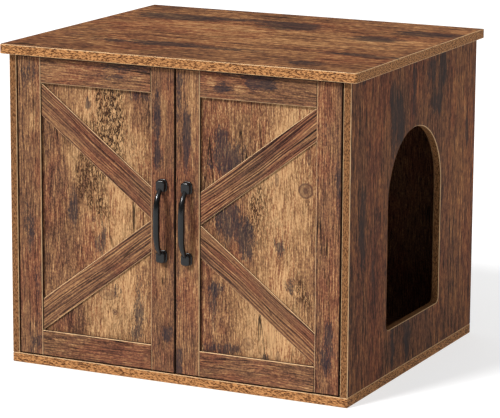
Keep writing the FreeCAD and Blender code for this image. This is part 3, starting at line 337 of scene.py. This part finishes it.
def board_material(name, board, seed):
    material, graph, shader = new_material(name)
    coordinates = graph.node("ShaderNodeTexCoord").outputs
    spot = coordinates["Object"]
    across = graph.vector("DOT_PRODUCT", spot, board.across)
    along = graph.vector("DOT_PRODUCT", spot, board.along)
    flat = graph.join(across, along, 0.0)
    ragged = graph.noise(graph.vector("MULTIPLY", flat, (70.0, 26.0, 1.0)), 3.0, 0.6)
    shove = graph.math("MULTIPLY", graph.math("SUBTRACT", ragged, 0.5), 0.022)
    patch_place = graph.vector("ADD", flat, graph.join(shove, graph.math("MULTIPLY", shove, 1.6),
                                                       0.0))
    knot_place = graph.vector("ADD", flat, graph.join(graph.math("MULTIPLY", shove, 0.15),
                                                      0.0, 0.0))
    tone, stain, speck = board.tone, board.stain, board.speck
    knot, crack = None, None
    for kind, centre_across, centre_along, half_across, half_along, strength in board.patches:
        tree = KNOT_GROUP if kind == "knot" else PATCH_GROUP
        place = knot_place if kind in ("knot", "crack") else patch_place
        mask = use_group(graph, tree, Place=place,
                         Centre=(centre_across, centre_along, 0.0),
                         Size=(half_across, half_along, 1.0))["Mask"]
        part = graph.math("MULTIPLY", mask, strength)
        if kind == "tone":
            tone = graph.math("ADD", tone, part)
        elif kind == "stain":
            stain = graph.math("ADD", stain, part)
        elif kind == "speck":
            speck = graph.math("ADD", speck, part)
        elif kind == "crack":
            crack = part if crack is None else graph.math("MAXIMUM", crack, part)
        else:
            knot = part if knot is None else graph.math("MAXIMUM", knot, part)
    grain = graph.vector("DIVIDE", graph.join(across, along, seed), (*board.coarse, 1.0))
    printed = use_group(graph, PRINT_GROUP, Grain=grain, Tone=tone, Stain=stain, Speck=speck,
                        Lines=board.lines, Warm=board.warm)
    colour, height = printed["Colour"], printed["Height"]
    if knot is not None:
        colour = graph.mix(knot, colour, KNOT_COLOUR)
    if crack is not None:
        colour = graph.mix(crack, colour, CRACK_COLOUR)
    face_way = graph.vector("CROSS_PRODUCT", board.across, board.along)
    facing = graph.math("ABSOLUTE", graph.vector("DOT_PRODUCT", coordinates["Normal"], face_way))
    on_edge = graph.math("LESS_THAN", facing, EDGE_FACING)
    if board.band:
        stretch, dark, light = board.band
        flecks = graph.noise(graph.vector("MULTIPLY", spot, stretch), 3.0, 0.7)
        band = graph.ramp(graph.remap(flecks, 0.42, 0.57), [(0.0, dark), (1.0, light)])
        colour = graph.mix(on_edge, colour, band)
    else:
        # Painted shade: the door pieces' edge faces are darkened to near black, as if in the gaps'
        # shadow.
        colour = graph.mix(graph.math("MULTIPLY", on_edge, 0.85), colour, PAINTED_EDGE_SHADE)
    worn = graph.noise(graph.vector("MULTIPLY", spot, (60.0, 60.0, 60.0)), 3.0, 0.6)
    slanted = graph.math("MULTIPLY", graph.remap(facing, 0.97, 0.90),
                         graph.remap(facing, EDGE_FACING, 0.4))
    on_arris = graph.math("MULTIPLY", slanted, graph.remap(worn, 0.25, 0.55, 0.45, 0.95))
    if board.worn is None:
        arris = ARRIS_COLOUR
    else:
        inward = graph.vector("DOT_PRODUCT", coordinates["Normal"], board.worn)
        # Arrises that don't face worn get the painted edge shade.
        arris = graph.mix(graph.remap(inward, 0.0, 0.3), PAINTED_EDGE_SHADE, ARRIS_COLOUR)
    colour = graph.mix(on_arris, colour, arris)
    graph.feed(shader.inputs["Base Color"], colour)
    graph.feed(shader.inputs["Roughness"], graph.remap(height, 0.0, 1.0, 0.50, 0.68))
    shader.inputs["Specular IOR Level"].default_value = BOARD_SPECULAR
    bump(graph, shader, height, PRINT_RELIEF)
    return material


# ---- the boards

X, Y, Z = (1.0, 0.0, 0.0), (0.0, 1.0, 0.0), (0.0, 0.0, 1.0)
LEFTWARD, DOWNWARD = (-1.0, 0.0, 0.0), (0.0, 0.0, -1.0)


def brace_directions(side, level):
    """Across and along one brace, from the two corners of the panel that it joins."""
    low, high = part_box(f"{side}_{level}_brace")
    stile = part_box(f"{side}_hinge_stile")
    width = stile[1][0] - stile[0][0]
    run = high[0] - low[0]
    rise_total = high[2] - low[2]
    slope = math.atan2(rise_total, run)
    for _ in range(12):
        slope = math.atan2(rise_total - width / math.cos(slope), run)
    falls = (side == "left") == (level == "upper")
    lean = -slope if falls else slope
    along = (math.cos(lean), 0.0, math.sin(lean))
    across = (-math.sin(lean), 0.0, math.cos(lean))
    return across, along


TOP_PATCHES = [
    ("stain", -0.138, -0.060, 0.026, 0.150, 1.42),
    ("stain", 0.134, -0.190, 0.034, 0.085, 1.42),
    ("stain", 0.150, -0.060, 0.018, 0.120, 0.98),
    ("stain", 0.120, 0.020, 0.044, 0.058, 1.52),
    ("stain", 0.062, 0.189, 0.030, 0.046, 1.42),
    ("stain", 0.143, 0.238, 0.030, 0.060, 1.24),
    ("stain", -0.204, 0.191, 0.020, 0.036, 1.24),
    ("stain", -0.102, 0.235, 0.012, 0.100, 1.15),
    ("tone", 0.060, -0.060, 0.045, 0.160, 0.26),
    ("tone", 0.040, 0.220, 0.030, 0.120, 0.24),
    ("tone", -0.020, 0.100, 0.040, 0.200, 0.18),
    ("tone", -0.190, 0.050, 0.040, 0.260, -0.10),
    ("knot", -0.050, -0.250, 0.007, 0.014, 0.7),
    ("knot", -0.115, -0.250, 0.007, 0.016, 0.7),
]
LEFT_PANEL_PATCHES = [
    ("tone", -0.115, 0.390, 0.075, 0.080, 0.36),
    ("tone", -0.098, 0.250, 0.055, 0.110, 0.34),
    ("tone", -0.110, 0.100, 0.070, 0.060, 0.38),
    ("tone", -0.200, 0.240, 0.038, 0.150, -0.06),
    ("tone", -0.178, 0.335, 0.010, 0.045, 0.34),
    ("speck", -0.125, 0.395, 0.034, 0.080, 1.5),
    ("speck", -0.154, 0.300, 0.020, 0.060, 1.3),
    ("speck", -0.138, 0.220, 0.030, 0.060, 1.3),
    ("stain", -0.112, 0.405, 0.012, 0.050, 0.45),
    ("tone", -0.062, 0.420, 0.022, 0.045, -0.30),
    ("stain", -0.070, 0.443, 0.032, 0.012, 0.80),
    ("stain", -0.179, 0.252, 0.009, 0.036, 0.95),
    ("stain", -0.124, 0.231, 0.008, 0.022, 1.00),
    ("stain", -0.135, 0.202, 0.012, 0.020, 0.95),
    ("stain", -0.067, 0.110, 0.013, 0.062, 1.05),
    ("stain", -0.104, 0.135, 0.011, 0.011, 1.00),
    ("tone", -0.176, 0.083, 0.020, 0.030, -0.24),
    ("stain", -0.152, 0.426, 0.006, 0.011, 1.5),
    ("knot", -0.120, 0.126, 0.014, 0.008, 0.55),
    ("knot", -0.144, 0.242, 0.0035, 0.004, 0.95),
    ("knot", -0.108, 0.099, 0.004, 0.004, 0.95),
]
RIGHT_PANEL_PATCHES = [
    ("tone", 0.200, 0.430, 0.040, 0.050, 0.34),
    ("tone", 0.175, 0.300, 0.055, 0.110, 0.38),
    ("tone", 0.160, 0.110, 0.060, 0.080, 0.52),
    ("tone", 0.090, 0.430, 0.045, 0.045, 0.10),
    ("stain", 0.073, 0.394, 0.012, 0.018, 0.95),
    ("stain", 0.086, 0.356, 0.032, 0.032, 1.15),
    ("stain", 0.085, 0.262, 0.028, 0.034, 1.25),
    ("stain", 0.120, 0.232, 0.015, 0.034, 1.25),
    ("stain", 0.170, 0.229, 0.008, 0.024, 0.90),
    ("stain", 0.187, 0.174, 0.012, 0.014, 1.00),
    ("stain", 0.072, 0.157, 0.016, 0.012, 0.95),
    ("stain", 0.062, 0.130, 0.008, 0.050, 0.95),
    ("stain", 0.080, 0.064, 0.034, 0.012, 1.10),
    ("stain", 0.152, 0.060, 0.006, 0.010, 0.90),
    ("speck", 0.105, 0.300, 0.060, 0.060, 0.8),
    ("speck", 0.215, 0.160, 0.018, 0.040, 0.8),
    ("knot", 0.214, 0.321, 0.0105, 0.0105, 0.92),
    ("crack", 0.141, 0.110, 0.0007, 0.050, 0.75),
    ("crack", 0.146, 0.330, 0.0006, 0.030, 0.60),
    ("knot", 0.121, 0.077, 0.009, 0.009, 0.55),
    ("knot", 0.219, 0.373, 0.003, 0.012, 0.95),
    ("knot", 0.167, 0.333, 0.003, 0.009, 0.80),
    ("knot", 0.171, 0.059, 0.003, 0.012, 0.80),
]
RIGHT_SIDE_PATCHES = [
    ("stain", 0.062, 0.462, 0.022, 0.040, 0.95),
    ("stain", 0.108, 0.470, 0.012, 0.040, 1.50),
    ("stain", 0.095, 0.425, 0.008, 0.040, 1.30),
    ("stain", -0.008, 0.445, 0.010, 0.050, 1.00),
    ("stain", -0.095, 0.447, 0.014, 0.022, 1.00),
    ("stain", -0.073, 0.405, 0.030, 0.055, 1.00),
    ("stain", 0.078, 0.409, 0.018, 0.020, 1.00),
    ("stain", -0.203, 0.483, 0.022, 0.010, 1.00),
    ("stain", -0.200, 0.270, 0.016, 0.070, 1.10),
    ("stain", -0.160, 0.190, 0.012, 0.060, 0.90),
    ("stain", 0.212, 0.345, 0.005, 0.040, 1.20),
    ("stain", -0.080, 0.050, 0.012, 0.045, 1.20),
    ("stain", -0.020, 0.055, 0.016, 0.045, 1.30),
    ("tone", -0.040, 0.055, 0.090, 0.045, -0.14),
    ("tone", 0.190, 0.300, 0.060, 0.220, 0.16),
    ("tone", -0.165, 0.430, 0.030, 0.060, 0.10),
    ("tone", -0.190, 0.160, 0.060, 0.110, -0.06),
    ("crack", -0.104, 0.050, 0.0012, 0.060, 0.80),
    ("crack", 0.100, 0.450, 0.0014, 0.050, 0.85),
    ("crack", 0.214, 0.345, 0.0010, 0.045, 0.80),
]

LEFT_SIDE_PATCHES = [
    ("stain", -0.150, 0.420, 0.016, 0.070, 1.10),
    ("stain", 0.040, 0.380, 0.024, 0.055, 1.05),
    ("stain", 0.170, 0.250, 0.014, 0.080, 1.10),
    ("stain", -0.070, 0.190, 0.018, 0.060, 1.00),
    ("stain", 0.110, 0.080, 0.026, 0.040, 1.00),
    ("stain", -0.200, 0.110, 0.012, 0.060, 1.05),
    ("tone", -0.040, 0.300, 0.050, 0.140, 0.22),
    ("tone", 0.110, 0.400, 0.040, 0.110, 0.18),
    ("tone", -0.150, 0.240, 0.040, 0.100, 0.20),
    ("tone", 0.190, 0.100, 0.040, 0.090, 0.16),
    ("speck", -0.030, 0.300, 0.050, 0.090, 0.80),
    ("knot", 0.075, 0.245, 0.011, 0.016, 0.80),
    ("knot", -0.125, 0.330, 0.008, 0.012, 0.75),
    ("crack", 0.020, 0.140, 0.0010, 0.070, 0.75),
]

BOARDS = {
    "top_panel": Board(Y, X, 0.55, 0.28, 0.35, patches=TOP_PATCHES, band=LEVEL_BAND,
                       coarse=(3.3, 2.4), warm=0.6),
    "base_panel": Board(Y, X, 0.55, 0.25, band=LEVEL_BAND),
    "left_side_panel": Board(Y, Z, 0.42, 0.25, patches=LEFT_SIDE_PATCHES, band=UPRIGHT_BAND,
                             coarse=(1.4, 2.0), warm=0.6),
    "right_side_panel": Board(Y, Z, 0.37, 0.20, 0.3, patches=RIGHT_SIDE_PATCHES,
                              band=UPRIGHT_BAND, coarse=(1.7, 2.4), warm=1.0),
    "left_door_slab": Board(X, Z, 0.52, 0.18, 0.55, patches=LEFT_PANEL_PATCHES),
    "right_door_slab": Board(X, Z, 0.52, 0.20, 0.45, patches=RIGHT_PANEL_PATCHES),
    "left_hinge_stile": Board(X, Z, 0.47, 0.26, 0.3, 0.35, worn=X, patches=[
        ("stain", -0.252, 0.460, 0.016, 0.030, 0.80), ("stain", -0.240, 0.412, 0.010, 0.030, 0.5),
        ("tone", -0.246, 0.386, 0.012, 0.016, 0.28), ("tone", -0.246, 0.440, 0.008, 0.016, 0.22),
        ("stain", -0.256, 0.223, 0.012, 0.045, 0.70), ("stain", -0.239, 0.142, 0.006, 0.028, 0.7),
        ("stain", -0.246, 0.034, 0.010, 0.018, 0.9)]),
    "left_meeting_stile": Board(X, Z, 0.44, 0.35, 0.3, 0.35, worn=LEFTWARD, patches=[
        ("stain", -0.031, 0.400, 0.007, 0.060, 0.95), ("stain", -0.026, 0.350, 0.010, 0.022, 0.8),
        ("tone", -0.020, 0.420, 0.006, 0.050, 0.22), ("tone", -0.022, 0.168, 0.012, 0.024, 0.24),
        ("stain", -0.016, 0.077, 0.010, 0.014, 0.95), ("tone", -0.022, 0.120, 0.010, 0.030, 0.1)]),
    "right_meeting_stile": Board(X, Z, 0.47, 0.35, 0.3, 0.35, worn=X, patches=[
        ("stain", 0.019, 0.383, 0.008, 0.050, 1.15), ("stain", 0.006, 0.452, 0.006, 0.036, 0.95),
        ("stain", 0.007, 0.030, 0.008, 0.030, 0.95), ("tone", 0.030, 0.420, 0.010, 0.070, 0.18),
        ("tone", 0.025, 0.200, 0.014, 0.060, 0.14)]),
    "right_hinge_stile": Board(X, Z, 0.45, 0.32, 0.3, 0.35, worn=LEFTWARD, patches=[
        ("stain", 0.269, 0.329, 0.006, 0.060, 0.85), ("stain", 0.256, 0.077, 0.013, 0.030, 1.10),
        ("stain", 0.258, 0.117, 0.006, 0.020, 0.85)]),
    # The stain patch at across 0.484, along the rail's top edge, is a painted shadow under the top's
    # overhang.
    "left_top_rail": Board(Z, X, 0.48, 0.30, 0.3, 0.35, worn=DOWNWARD, patches=[
        ("stain", 0.466, -0.115, 0.006, 0.060, 0.75), ("stain", 0.484, -0.080, 0.008, 0.050, 0.9),
        ("tone", 0.468, -0.190, 0.012, 0.040, 0.14)]),
    "left_bottom_rail": Board(Z, X, 0.46, 0.20, 0.5, 0.35, worn=Z, patches=[
        ("tone", 0.042, -0.106, 0.012, 0.024, -0.18), ("tone", 0.040, -0.180, 0.012, 0.040, 0.10)]),
    # The stain patch at across 0.488, along the rail's top edge, is a painted shadow under the top's
    # overhang.
    "right_top_rail": Board(Z, X, 0.46, 0.28, 0.4, 0.35, worn=DOWNWARD, patches=[
        ("stain", 0.466, 0.080, 0.010, 0.018, 1.15), ("stain", 0.477, 0.144, 0.012, 0.028, 1.25),
        ("tone", 0.469, 0.059, 0.008, 0.010, 0.18), ("tone", 0.463, 0.107, 0.008, 0.014, 0.18),
        ("stain", 0.488, 0.110, 0.006, 0.070, 0.9)]),
    "right_bottom_rail": Board(Z, X, 0.46, 0.20, 0.4, 0.35, worn=Z),
}
BRACES = {
    ("left", "upper"): (0.42, 0.10, 0.75),
    ("left", "lower"): (0.47, 0.20, 0.75),
    ("right", "upper"): (0.36, 0.20, 1.00),
    ("right", "lower"): (0.44, 0.15, 0.85),
}
for (side, level), (tone, stain, lines) in BRACES.items():
    across, along = brace_directions(side, level)
    BOARDS[f"{side}_{level}_brace"] = Board(across, along, tone, stain, 0.15, lines)

for seed, (node, board) in enumerate(BOARDS.items()):
    thing = NODES[node]
    thing.data.materials.clear()
    thing.data.materials.append(board_material(f"rustic_{node}", board, 0.37 * seed + 0.11))


# ---- plain materials

def paint(material, *nodes):
    for node in nodes:
        NODES[node].data.materials.clear()
        NODES[node].data.materials.append(material)


def metal_material(name, dark, light, low, high, scale, metallic=1.0, specular=0.5):
    """Worn or plated metal: its colour and gloss drift over the surface."""
    material, graph, shader = new_material(name)
    place = graph.node("ShaderNodeTexCoord").outputs["Object"]
    cloud = graph.noise(graph.vector("SCALE", place, scale), 4.0, 0.6)
    fine = graph.noise(graph.vector("SCALE", place, scale * 14.0), 3.0, 0.6)
    graph.feed(shader.inputs["Base Color"], graph.ramp(cloud, [(0.3, dark), (0.7, light)]))
    graph.feed(shader.inputs["Roughness"], graph.remap(graph.math(
        "ADD", graph.math("MULTIPLY", cloud, 0.6), graph.math("MULTIPLY", fine, 0.4)),
        0.3, 0.7, low, high))
    shader.inputs["Metallic"].default_value = metallic
    shader.inputs["Specular IOR Level"].default_value = specular
    bump(graph, shader, fine, 0.00003, 0.6)
    return material


def back_material():
    """Thin hardboard: the print on its inner face, raw brown fibre on its outer one."""
    material, graph, shader = new_material("back_board")
    coordinates = graph.node("ShaderNodeTexCoord").outputs
    place = coordinates["Object"]
    spot = graph.split(place)
    printed = use_group(graph, PRINT_GROUP, Grain=graph.join(spot[0], spot[2], 7.7),
                        Tone=0.42, Stain=0.25, Speck=0.3, Warm=0.3)
    cloud = graph.noise(graph.vector("MULTIPLY", place, (9.0, 9.0, 3.0)), 5.0, 0.6)
    fibre = graph.noise(graph.vector("MULTIPLY", place, (420.0, 420.0, 130.0)), 4.0, 0.7)
    fleck = graph.noise(graph.vector("SCALE", place, 900.0), 2.0, 0.7)
    tone = graph.math("ADD", graph.math("MULTIPLY", cloud, 0.4),
                      graph.math("MULTIPLY", fibre, 0.6))
    raw = graph.ramp(tone, [(0.36, (0.095, 0.046, 0.022)), (0.50, (0.170, 0.086, 0.042)),
                            (0.64, (0.270, 0.146, 0.072))])
    raw = graph.mix(graph.math("MULTIPLY", graph.remap(fleck, 0.58, 0.66), 0.6), raw,
                    FLECK_COLOUR)
    outward = graph.remap(graph.split(coordinates["Normal"])[1], 0.4, 0.6)
    graph.feed(shader.inputs["Base Color"], graph.mix(outward, printed["Colour"], raw))
    graph.feed(shader.inputs["Roughness"], graph.remap(fibre, 0.3, 0.7, 0.62, 0.82))
    shader.inputs["Specular IOR Level"].default_value = BACK_SPECULAR
    bump(graph, shader, fibre, FIBRE_RELIEF)
    return material


def beech_material():
    material, graph, shader = new_material("dowel_beech")
    place = graph.node("ShaderNodeTexCoord").outputs["Object"]
    fibre = graph.noise(graph.vector("MULTIPLY", place, (900.0, 900.0, 60.0)), 3.0, 0.6)
    graph.feed(shader.inputs["Base Color"], graph.ramp(fibre, [
        (0.35, (0.46, 0.28, 0.15)), (0.65, (0.66, 0.45, 0.27))]))
    graph.feed(shader.inputs["Roughness"], graph.remap(fibre, 0.3, 0.7, 0.55, 0.70))
    bump(graph, shader, fibre, FIBRE_RELIEF)
    return material


def plastic_material():
    material, graph, shader = new_material("brown_plastic")
    place = graph.node("ShaderNodeTexCoord").outputs["Object"]
    grit = graph.noise(graph.vector("SCALE", place, 1400.0), 2.0, 0.5)
    graph.feed(shader.inputs["Base Color"], graph.ramp(grit, [
        (0.35, (0.060, 0.030, 0.018)), (0.65, (0.085, 0.044, 0.026))]))
    graph.feed(shader.inputs["Roughness"], graph.remap(grit, 0.3, 0.7, 0.38, 0.52))
    bump(graph, shader, grit, 0.00004)
    return material


BLACK = metal_material("satin_black", (0.003, 0.003, 0.003), (0.007, 0.007, 0.007), 0.17, 0.27,
                       40.0, 0.0, 0.36)
NICKEL = metal_material("nickel_steel", (0.50, 0.49, 0.47), (0.66, 0.65, 0.62), 0.20, 0.34, 60.0)
ZINC = metal_material("zinc_plate", (0.42, 0.43, 0.44), (0.62, 0.62, 0.60), 0.30, 0.48, 90.0)
MAGNET = metal_material("magnet_grey", (0.13, 0.13, 0.14), (0.20, 0.20, 0.21), 0.40, 0.55, 120.0)

paint(back_material(), "back_panel")
paint(beech_material(), "wood_dowels")
paint(plastic_material(), "catch_housing")
paint(MAGNET, "catch_magnets")
paint(ZINC, "cam_bolts", "cam_locks", "catch_screws")
for side in DOORS:
    paint(ZINC, f"{side}_pull_screws", f"{side}_strike_screw", f"{side}_cup_screws",
          f"{side}_plate_screws")
    paint(NICKEL, f"{side}_strike_plate")
    for level in ("upper", "lower"):
        paint(NICKEL, *[f"{side}_{level}_hinge_{piece}" for piece in
                        ("cup", "inner_link", "outer_link", "arm", "plate")])


# ---- arch pulls, smooth versions of the solids

PULL_CENTRES = 0.110
PULL_PROJECTION = 0.026
BAR_DIAMETER = 0.0106
NECK_DIAMETER = 0.0066
ROOT_DEPTH = 0.005
ROOT_INSET = 0.003
FOOT_WIDTH = 0.0165
FOOT_LENGTH = 0.0195
FOOT_CORNER = 0.0055
FOOT_HEIGHT = 0.010
CROWN_HEIGHT = 0.0024
CROWN_INSET = 0.00266
CROWN_STEPS = 8
FLANGE_BEVEL = 0.0005
FLANGE_MARGIN = 0.0008
FLANGE_HEIGHT = 0.002
BAR_RINGS = 72
ROUND_STEPS = 40


def add_ring(mesh, centre, side_way, up_way, radius):
    turns = [2 * math.pi * step / ROUND_STEPS for step in range(ROUND_STEPS)]
    return [mesh.verts.new(centre + radius * (math.cos(turn) * side_way + math.sin(turn) * up_way))
            for turn in turns]


def bridge(mesh, rings):
    """Join the rings by quads and close both ends."""
    for first, second in zip(rings, rings[1:]):
        for step in range(ROUND_STEPS):
            after = (step + 1) % ROUND_STEPS
            mesh.faces.new((first[step], first[after], second[after], second[step]))
    mesh.faces.new(reversed(rings[0]))
    mesh.faces.new(rings[-1])


def pull_bar(mesh):
    """The bar's depth falls towards the door with the fourth power of the way to its root."""
    root = PULL_CENTRES / 2 - ROOT_INSET
    crest = PULL_PROJECTION - BAR_DIAMETER / 2
    fall = crest - ROOT_DEPTH
    rings = []
    for step in range(BAR_RINGS + 1):
        share = 2 * step / BAR_RINGS - 1
        turn = math.atan(4 * share ** 3 * fall / root)
        centre = Vector((0, fall * share ** 4 - crest, share * root))
        half = (BAR_DIAMETER - (BAR_DIAMETER - NECK_DIAMETER) * share ** 2) / 2
        outward = Vector((0, -math.cos(turn), math.sin(turn)))
        rings.append(add_ring(mesh, centre, Vector(X), outward, half))
    bridge(mesh, rings)


def foot_outline(margin, depth, height):
    """Points round the foot's rounded outline, drawn in by a margin."""
    corner = FOOT_CORNER - margin
    points = []
    for quarter, (across, along) in enumerate(((1, 1), (-1, 1), (-1, -1), (1, -1))):
        for step in range(ROUND_STEPS // 4):
            turn = math.pi / 2 * (quarter + step / (ROUND_STEPS // 4 - 1))
            points.append(Vector((
                across * (FOOT_WIDTH / 2 - FOOT_CORNER) + corner * math.cos(turn), -depth,
                height + along * (FOOT_LENGTH / 2 - FOOT_CORNER) + corner * math.sin(turn))))
    return points


def pull_foot(mesh, height):
    """A rounded block on a thin flange; its crown rolls over to a flatter front."""
    profile = [(0.0, 0.0), (0.0, FLANGE_HEIGHT - FLANGE_BEVEL), (FLANGE_BEVEL, FLANGE_HEIGHT),
               (FLANGE_MARGIN, FLANGE_HEIGHT), (FLANGE_MARGIN, FOOT_HEIGHT - CROWN_HEIGHT)]
    for step in range(1, CROWN_STEPS + 1):
        turn = math.pi / 2 * step / CROWN_STEPS
        profile.append((FLANGE_MARGIN + CROWN_INSET * (1 - math.cos(turn)),
                        FOOT_HEIGHT - CROWN_HEIGHT * (1 - math.sin(turn))))
    rings = [[mesh.verts.new(point) for point in foot_outline(margin, depth, height)]
             for margin, depth in profile]
    bridge(mesh, rings)


def make_pull(side):
    mesh = bmesh.new()
    pull_bar(mesh)
    for end in (-1, 1):
        pull_foot(mesh, end * PULL_CENTRES / 2)
    bmesh.ops.recalc_face_normals(mesh, faces=mesh.faces)
    low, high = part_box(f"{side}_pull_handle")
    data = bpy.data.meshes.new(f"{side}_smooth_pull")
    mesh.to_mesh(data)
    mesh.free()
    data.polygons.foreach_set("use_smooth", [len(face.vertices) == 4 for face in data.polygons])
    data.materials.append(BLACK)
    pull = bpy.data.objects.new(f"{side}_smooth_pull", data)
    bpy.context.scene.collection.objects.link(pull)
    data.transform(Matrix.Translation(((low[0] + high[0]) / 2, FRONT, (low[2] + high[2]) / 2)))
    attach(pull, f"{side}_door")
    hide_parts(f"{side}_pull_handle")


for side in DOORS:
    make_pull(side)


# ---- stage, light and camera

def make_floor():
    material, graph, shader = new_material("pale_floor")
    place = graph.node("ShaderNodeTexCoord").outputs["Object"]
    mottle = graph.noise(graph.vector("SCALE", place, 3.0), 3.0, 0.5)
    graph.feed(shader.inputs["Base Color"], graph.ramp(mottle, [
        (0.3, (0.44, 0.44, 0.44)), (0.7, (0.46, 0.46, 0.46))]))
    shader.inputs["Roughness"].default_value = 0.9
    shader.inputs["Emission Color"].default_value = (1.0, 1.0, 1.0, 1.0)
    shader.inputs["Emission Strength"].default_value = FLOOR_GLOW
    mesh = bmesh.new()
    bmesh.ops.create_grid(mesh, x_segments=1, y_segments=1, size=FLOOR_SIZE)
    data = bpy.data.meshes.new("floor")
    mesh.to_mesh(data)
    mesh.free()
    data.materials.append(material)
    floor = bpy.data.objects.new("floor", data)
    floor.location.z = -FLOOR_DROP
    bpy.context.scene.collection.objects.link(floor)


def make_world():
    """A studio dome: bright overhead, dim towards the horizon."""
    world = bpy.data.worlds.new("studio")
    bpy.context.scene.world = world
    world.use_nodes = True
    world.node_tree.nodes.clear()
    graph = Graph(world.node_tree)
    way = graph.node("ShaderNodeTexCoord").outputs["Generated"]
    strength = graph.remap(graph.split(way)[2], 0.15, 0.95, 0.10, 0.95)
    background = graph.node("ShaderNodeBackground")
    graph.feed(background.inputs["Strength"], strength)
    output = graph.node("ShaderNodeOutputWorld")
    graph.feed(output.inputs["Surface"], background.outputs[0])


def add_sun(name, way, angle, energy):
    """A soft far lamp that shines from the direction way."""
    data = bpy.data.lights.new(name, "SUN")
    data.angle = math.radians(angle)
    data.energy = energy
    lamp = bpy.data.objects.new(name, data)
    lamp.rotation_euler = Vector(way).to_track_quat("Z", "Y").to_euler()
    bpy.context.scene.collection.objects.link(lamp)


KEY_WAY = (-0.32, -0.67, 0.67)
KEY_ANGLE = 14.0
KEY_ENERGY = 4.2
FLOOR_SIZE = 30.0
FLOOR_DROP = 0.0005
FLOOR_GLOW = 0.62
CAMERA_PLACE = (1.8202, -3.7108, 1.1199)
CAMERA_YAW = -0.455
CAMERA_PITCH = 0.2129
CAMERA_ROLL = 0.0059
CAMERA_LENS = 191.1


def make_camera():
    """At the photograph's viewing angle."""
    forward = Vector((math.sin(CAMERA_YAW) * math.cos(CAMERA_PITCH),
                      math.cos(CAMERA_YAW) * math.cos(CAMERA_PITCH), -math.sin(CAMERA_PITCH)))
    level = Vector((math.cos(CAMERA_YAW), -math.sin(CAMERA_YAW), 0.0))
    upright = level.cross(forward)
    right = level * math.cos(CAMERA_ROLL) + upright * math.sin(CAMERA_ROLL)
    up = upright * math.cos(CAMERA_ROLL) - level * math.sin(CAMERA_ROLL)
    data = bpy.data.cameras.new("camera")
    data.sensor_fit = "HORIZONTAL"
    data.lens = CAMERA_LENS
    data.clip_end = 60.0
    camera = bpy.data.objects.new("camera", data)
    camera.matrix_world = Matrix.Translation(CAMERA_PLACE) @ Matrix(
        (right, up, -forward)).transposed().to_4x4()
    bpy.context.scene.collection.objects.link(camera)
    bpy.context.scene.camera = camera


make_floor()
make_world()
add_sun("key", KEY_WAY, KEY_ANGLE, KEY_ENERGY)
make_camera()
view = bpy.context.scene.view_settings
view.view_transform = "Standard"
view.look = "None"
view.exposure = 0.0
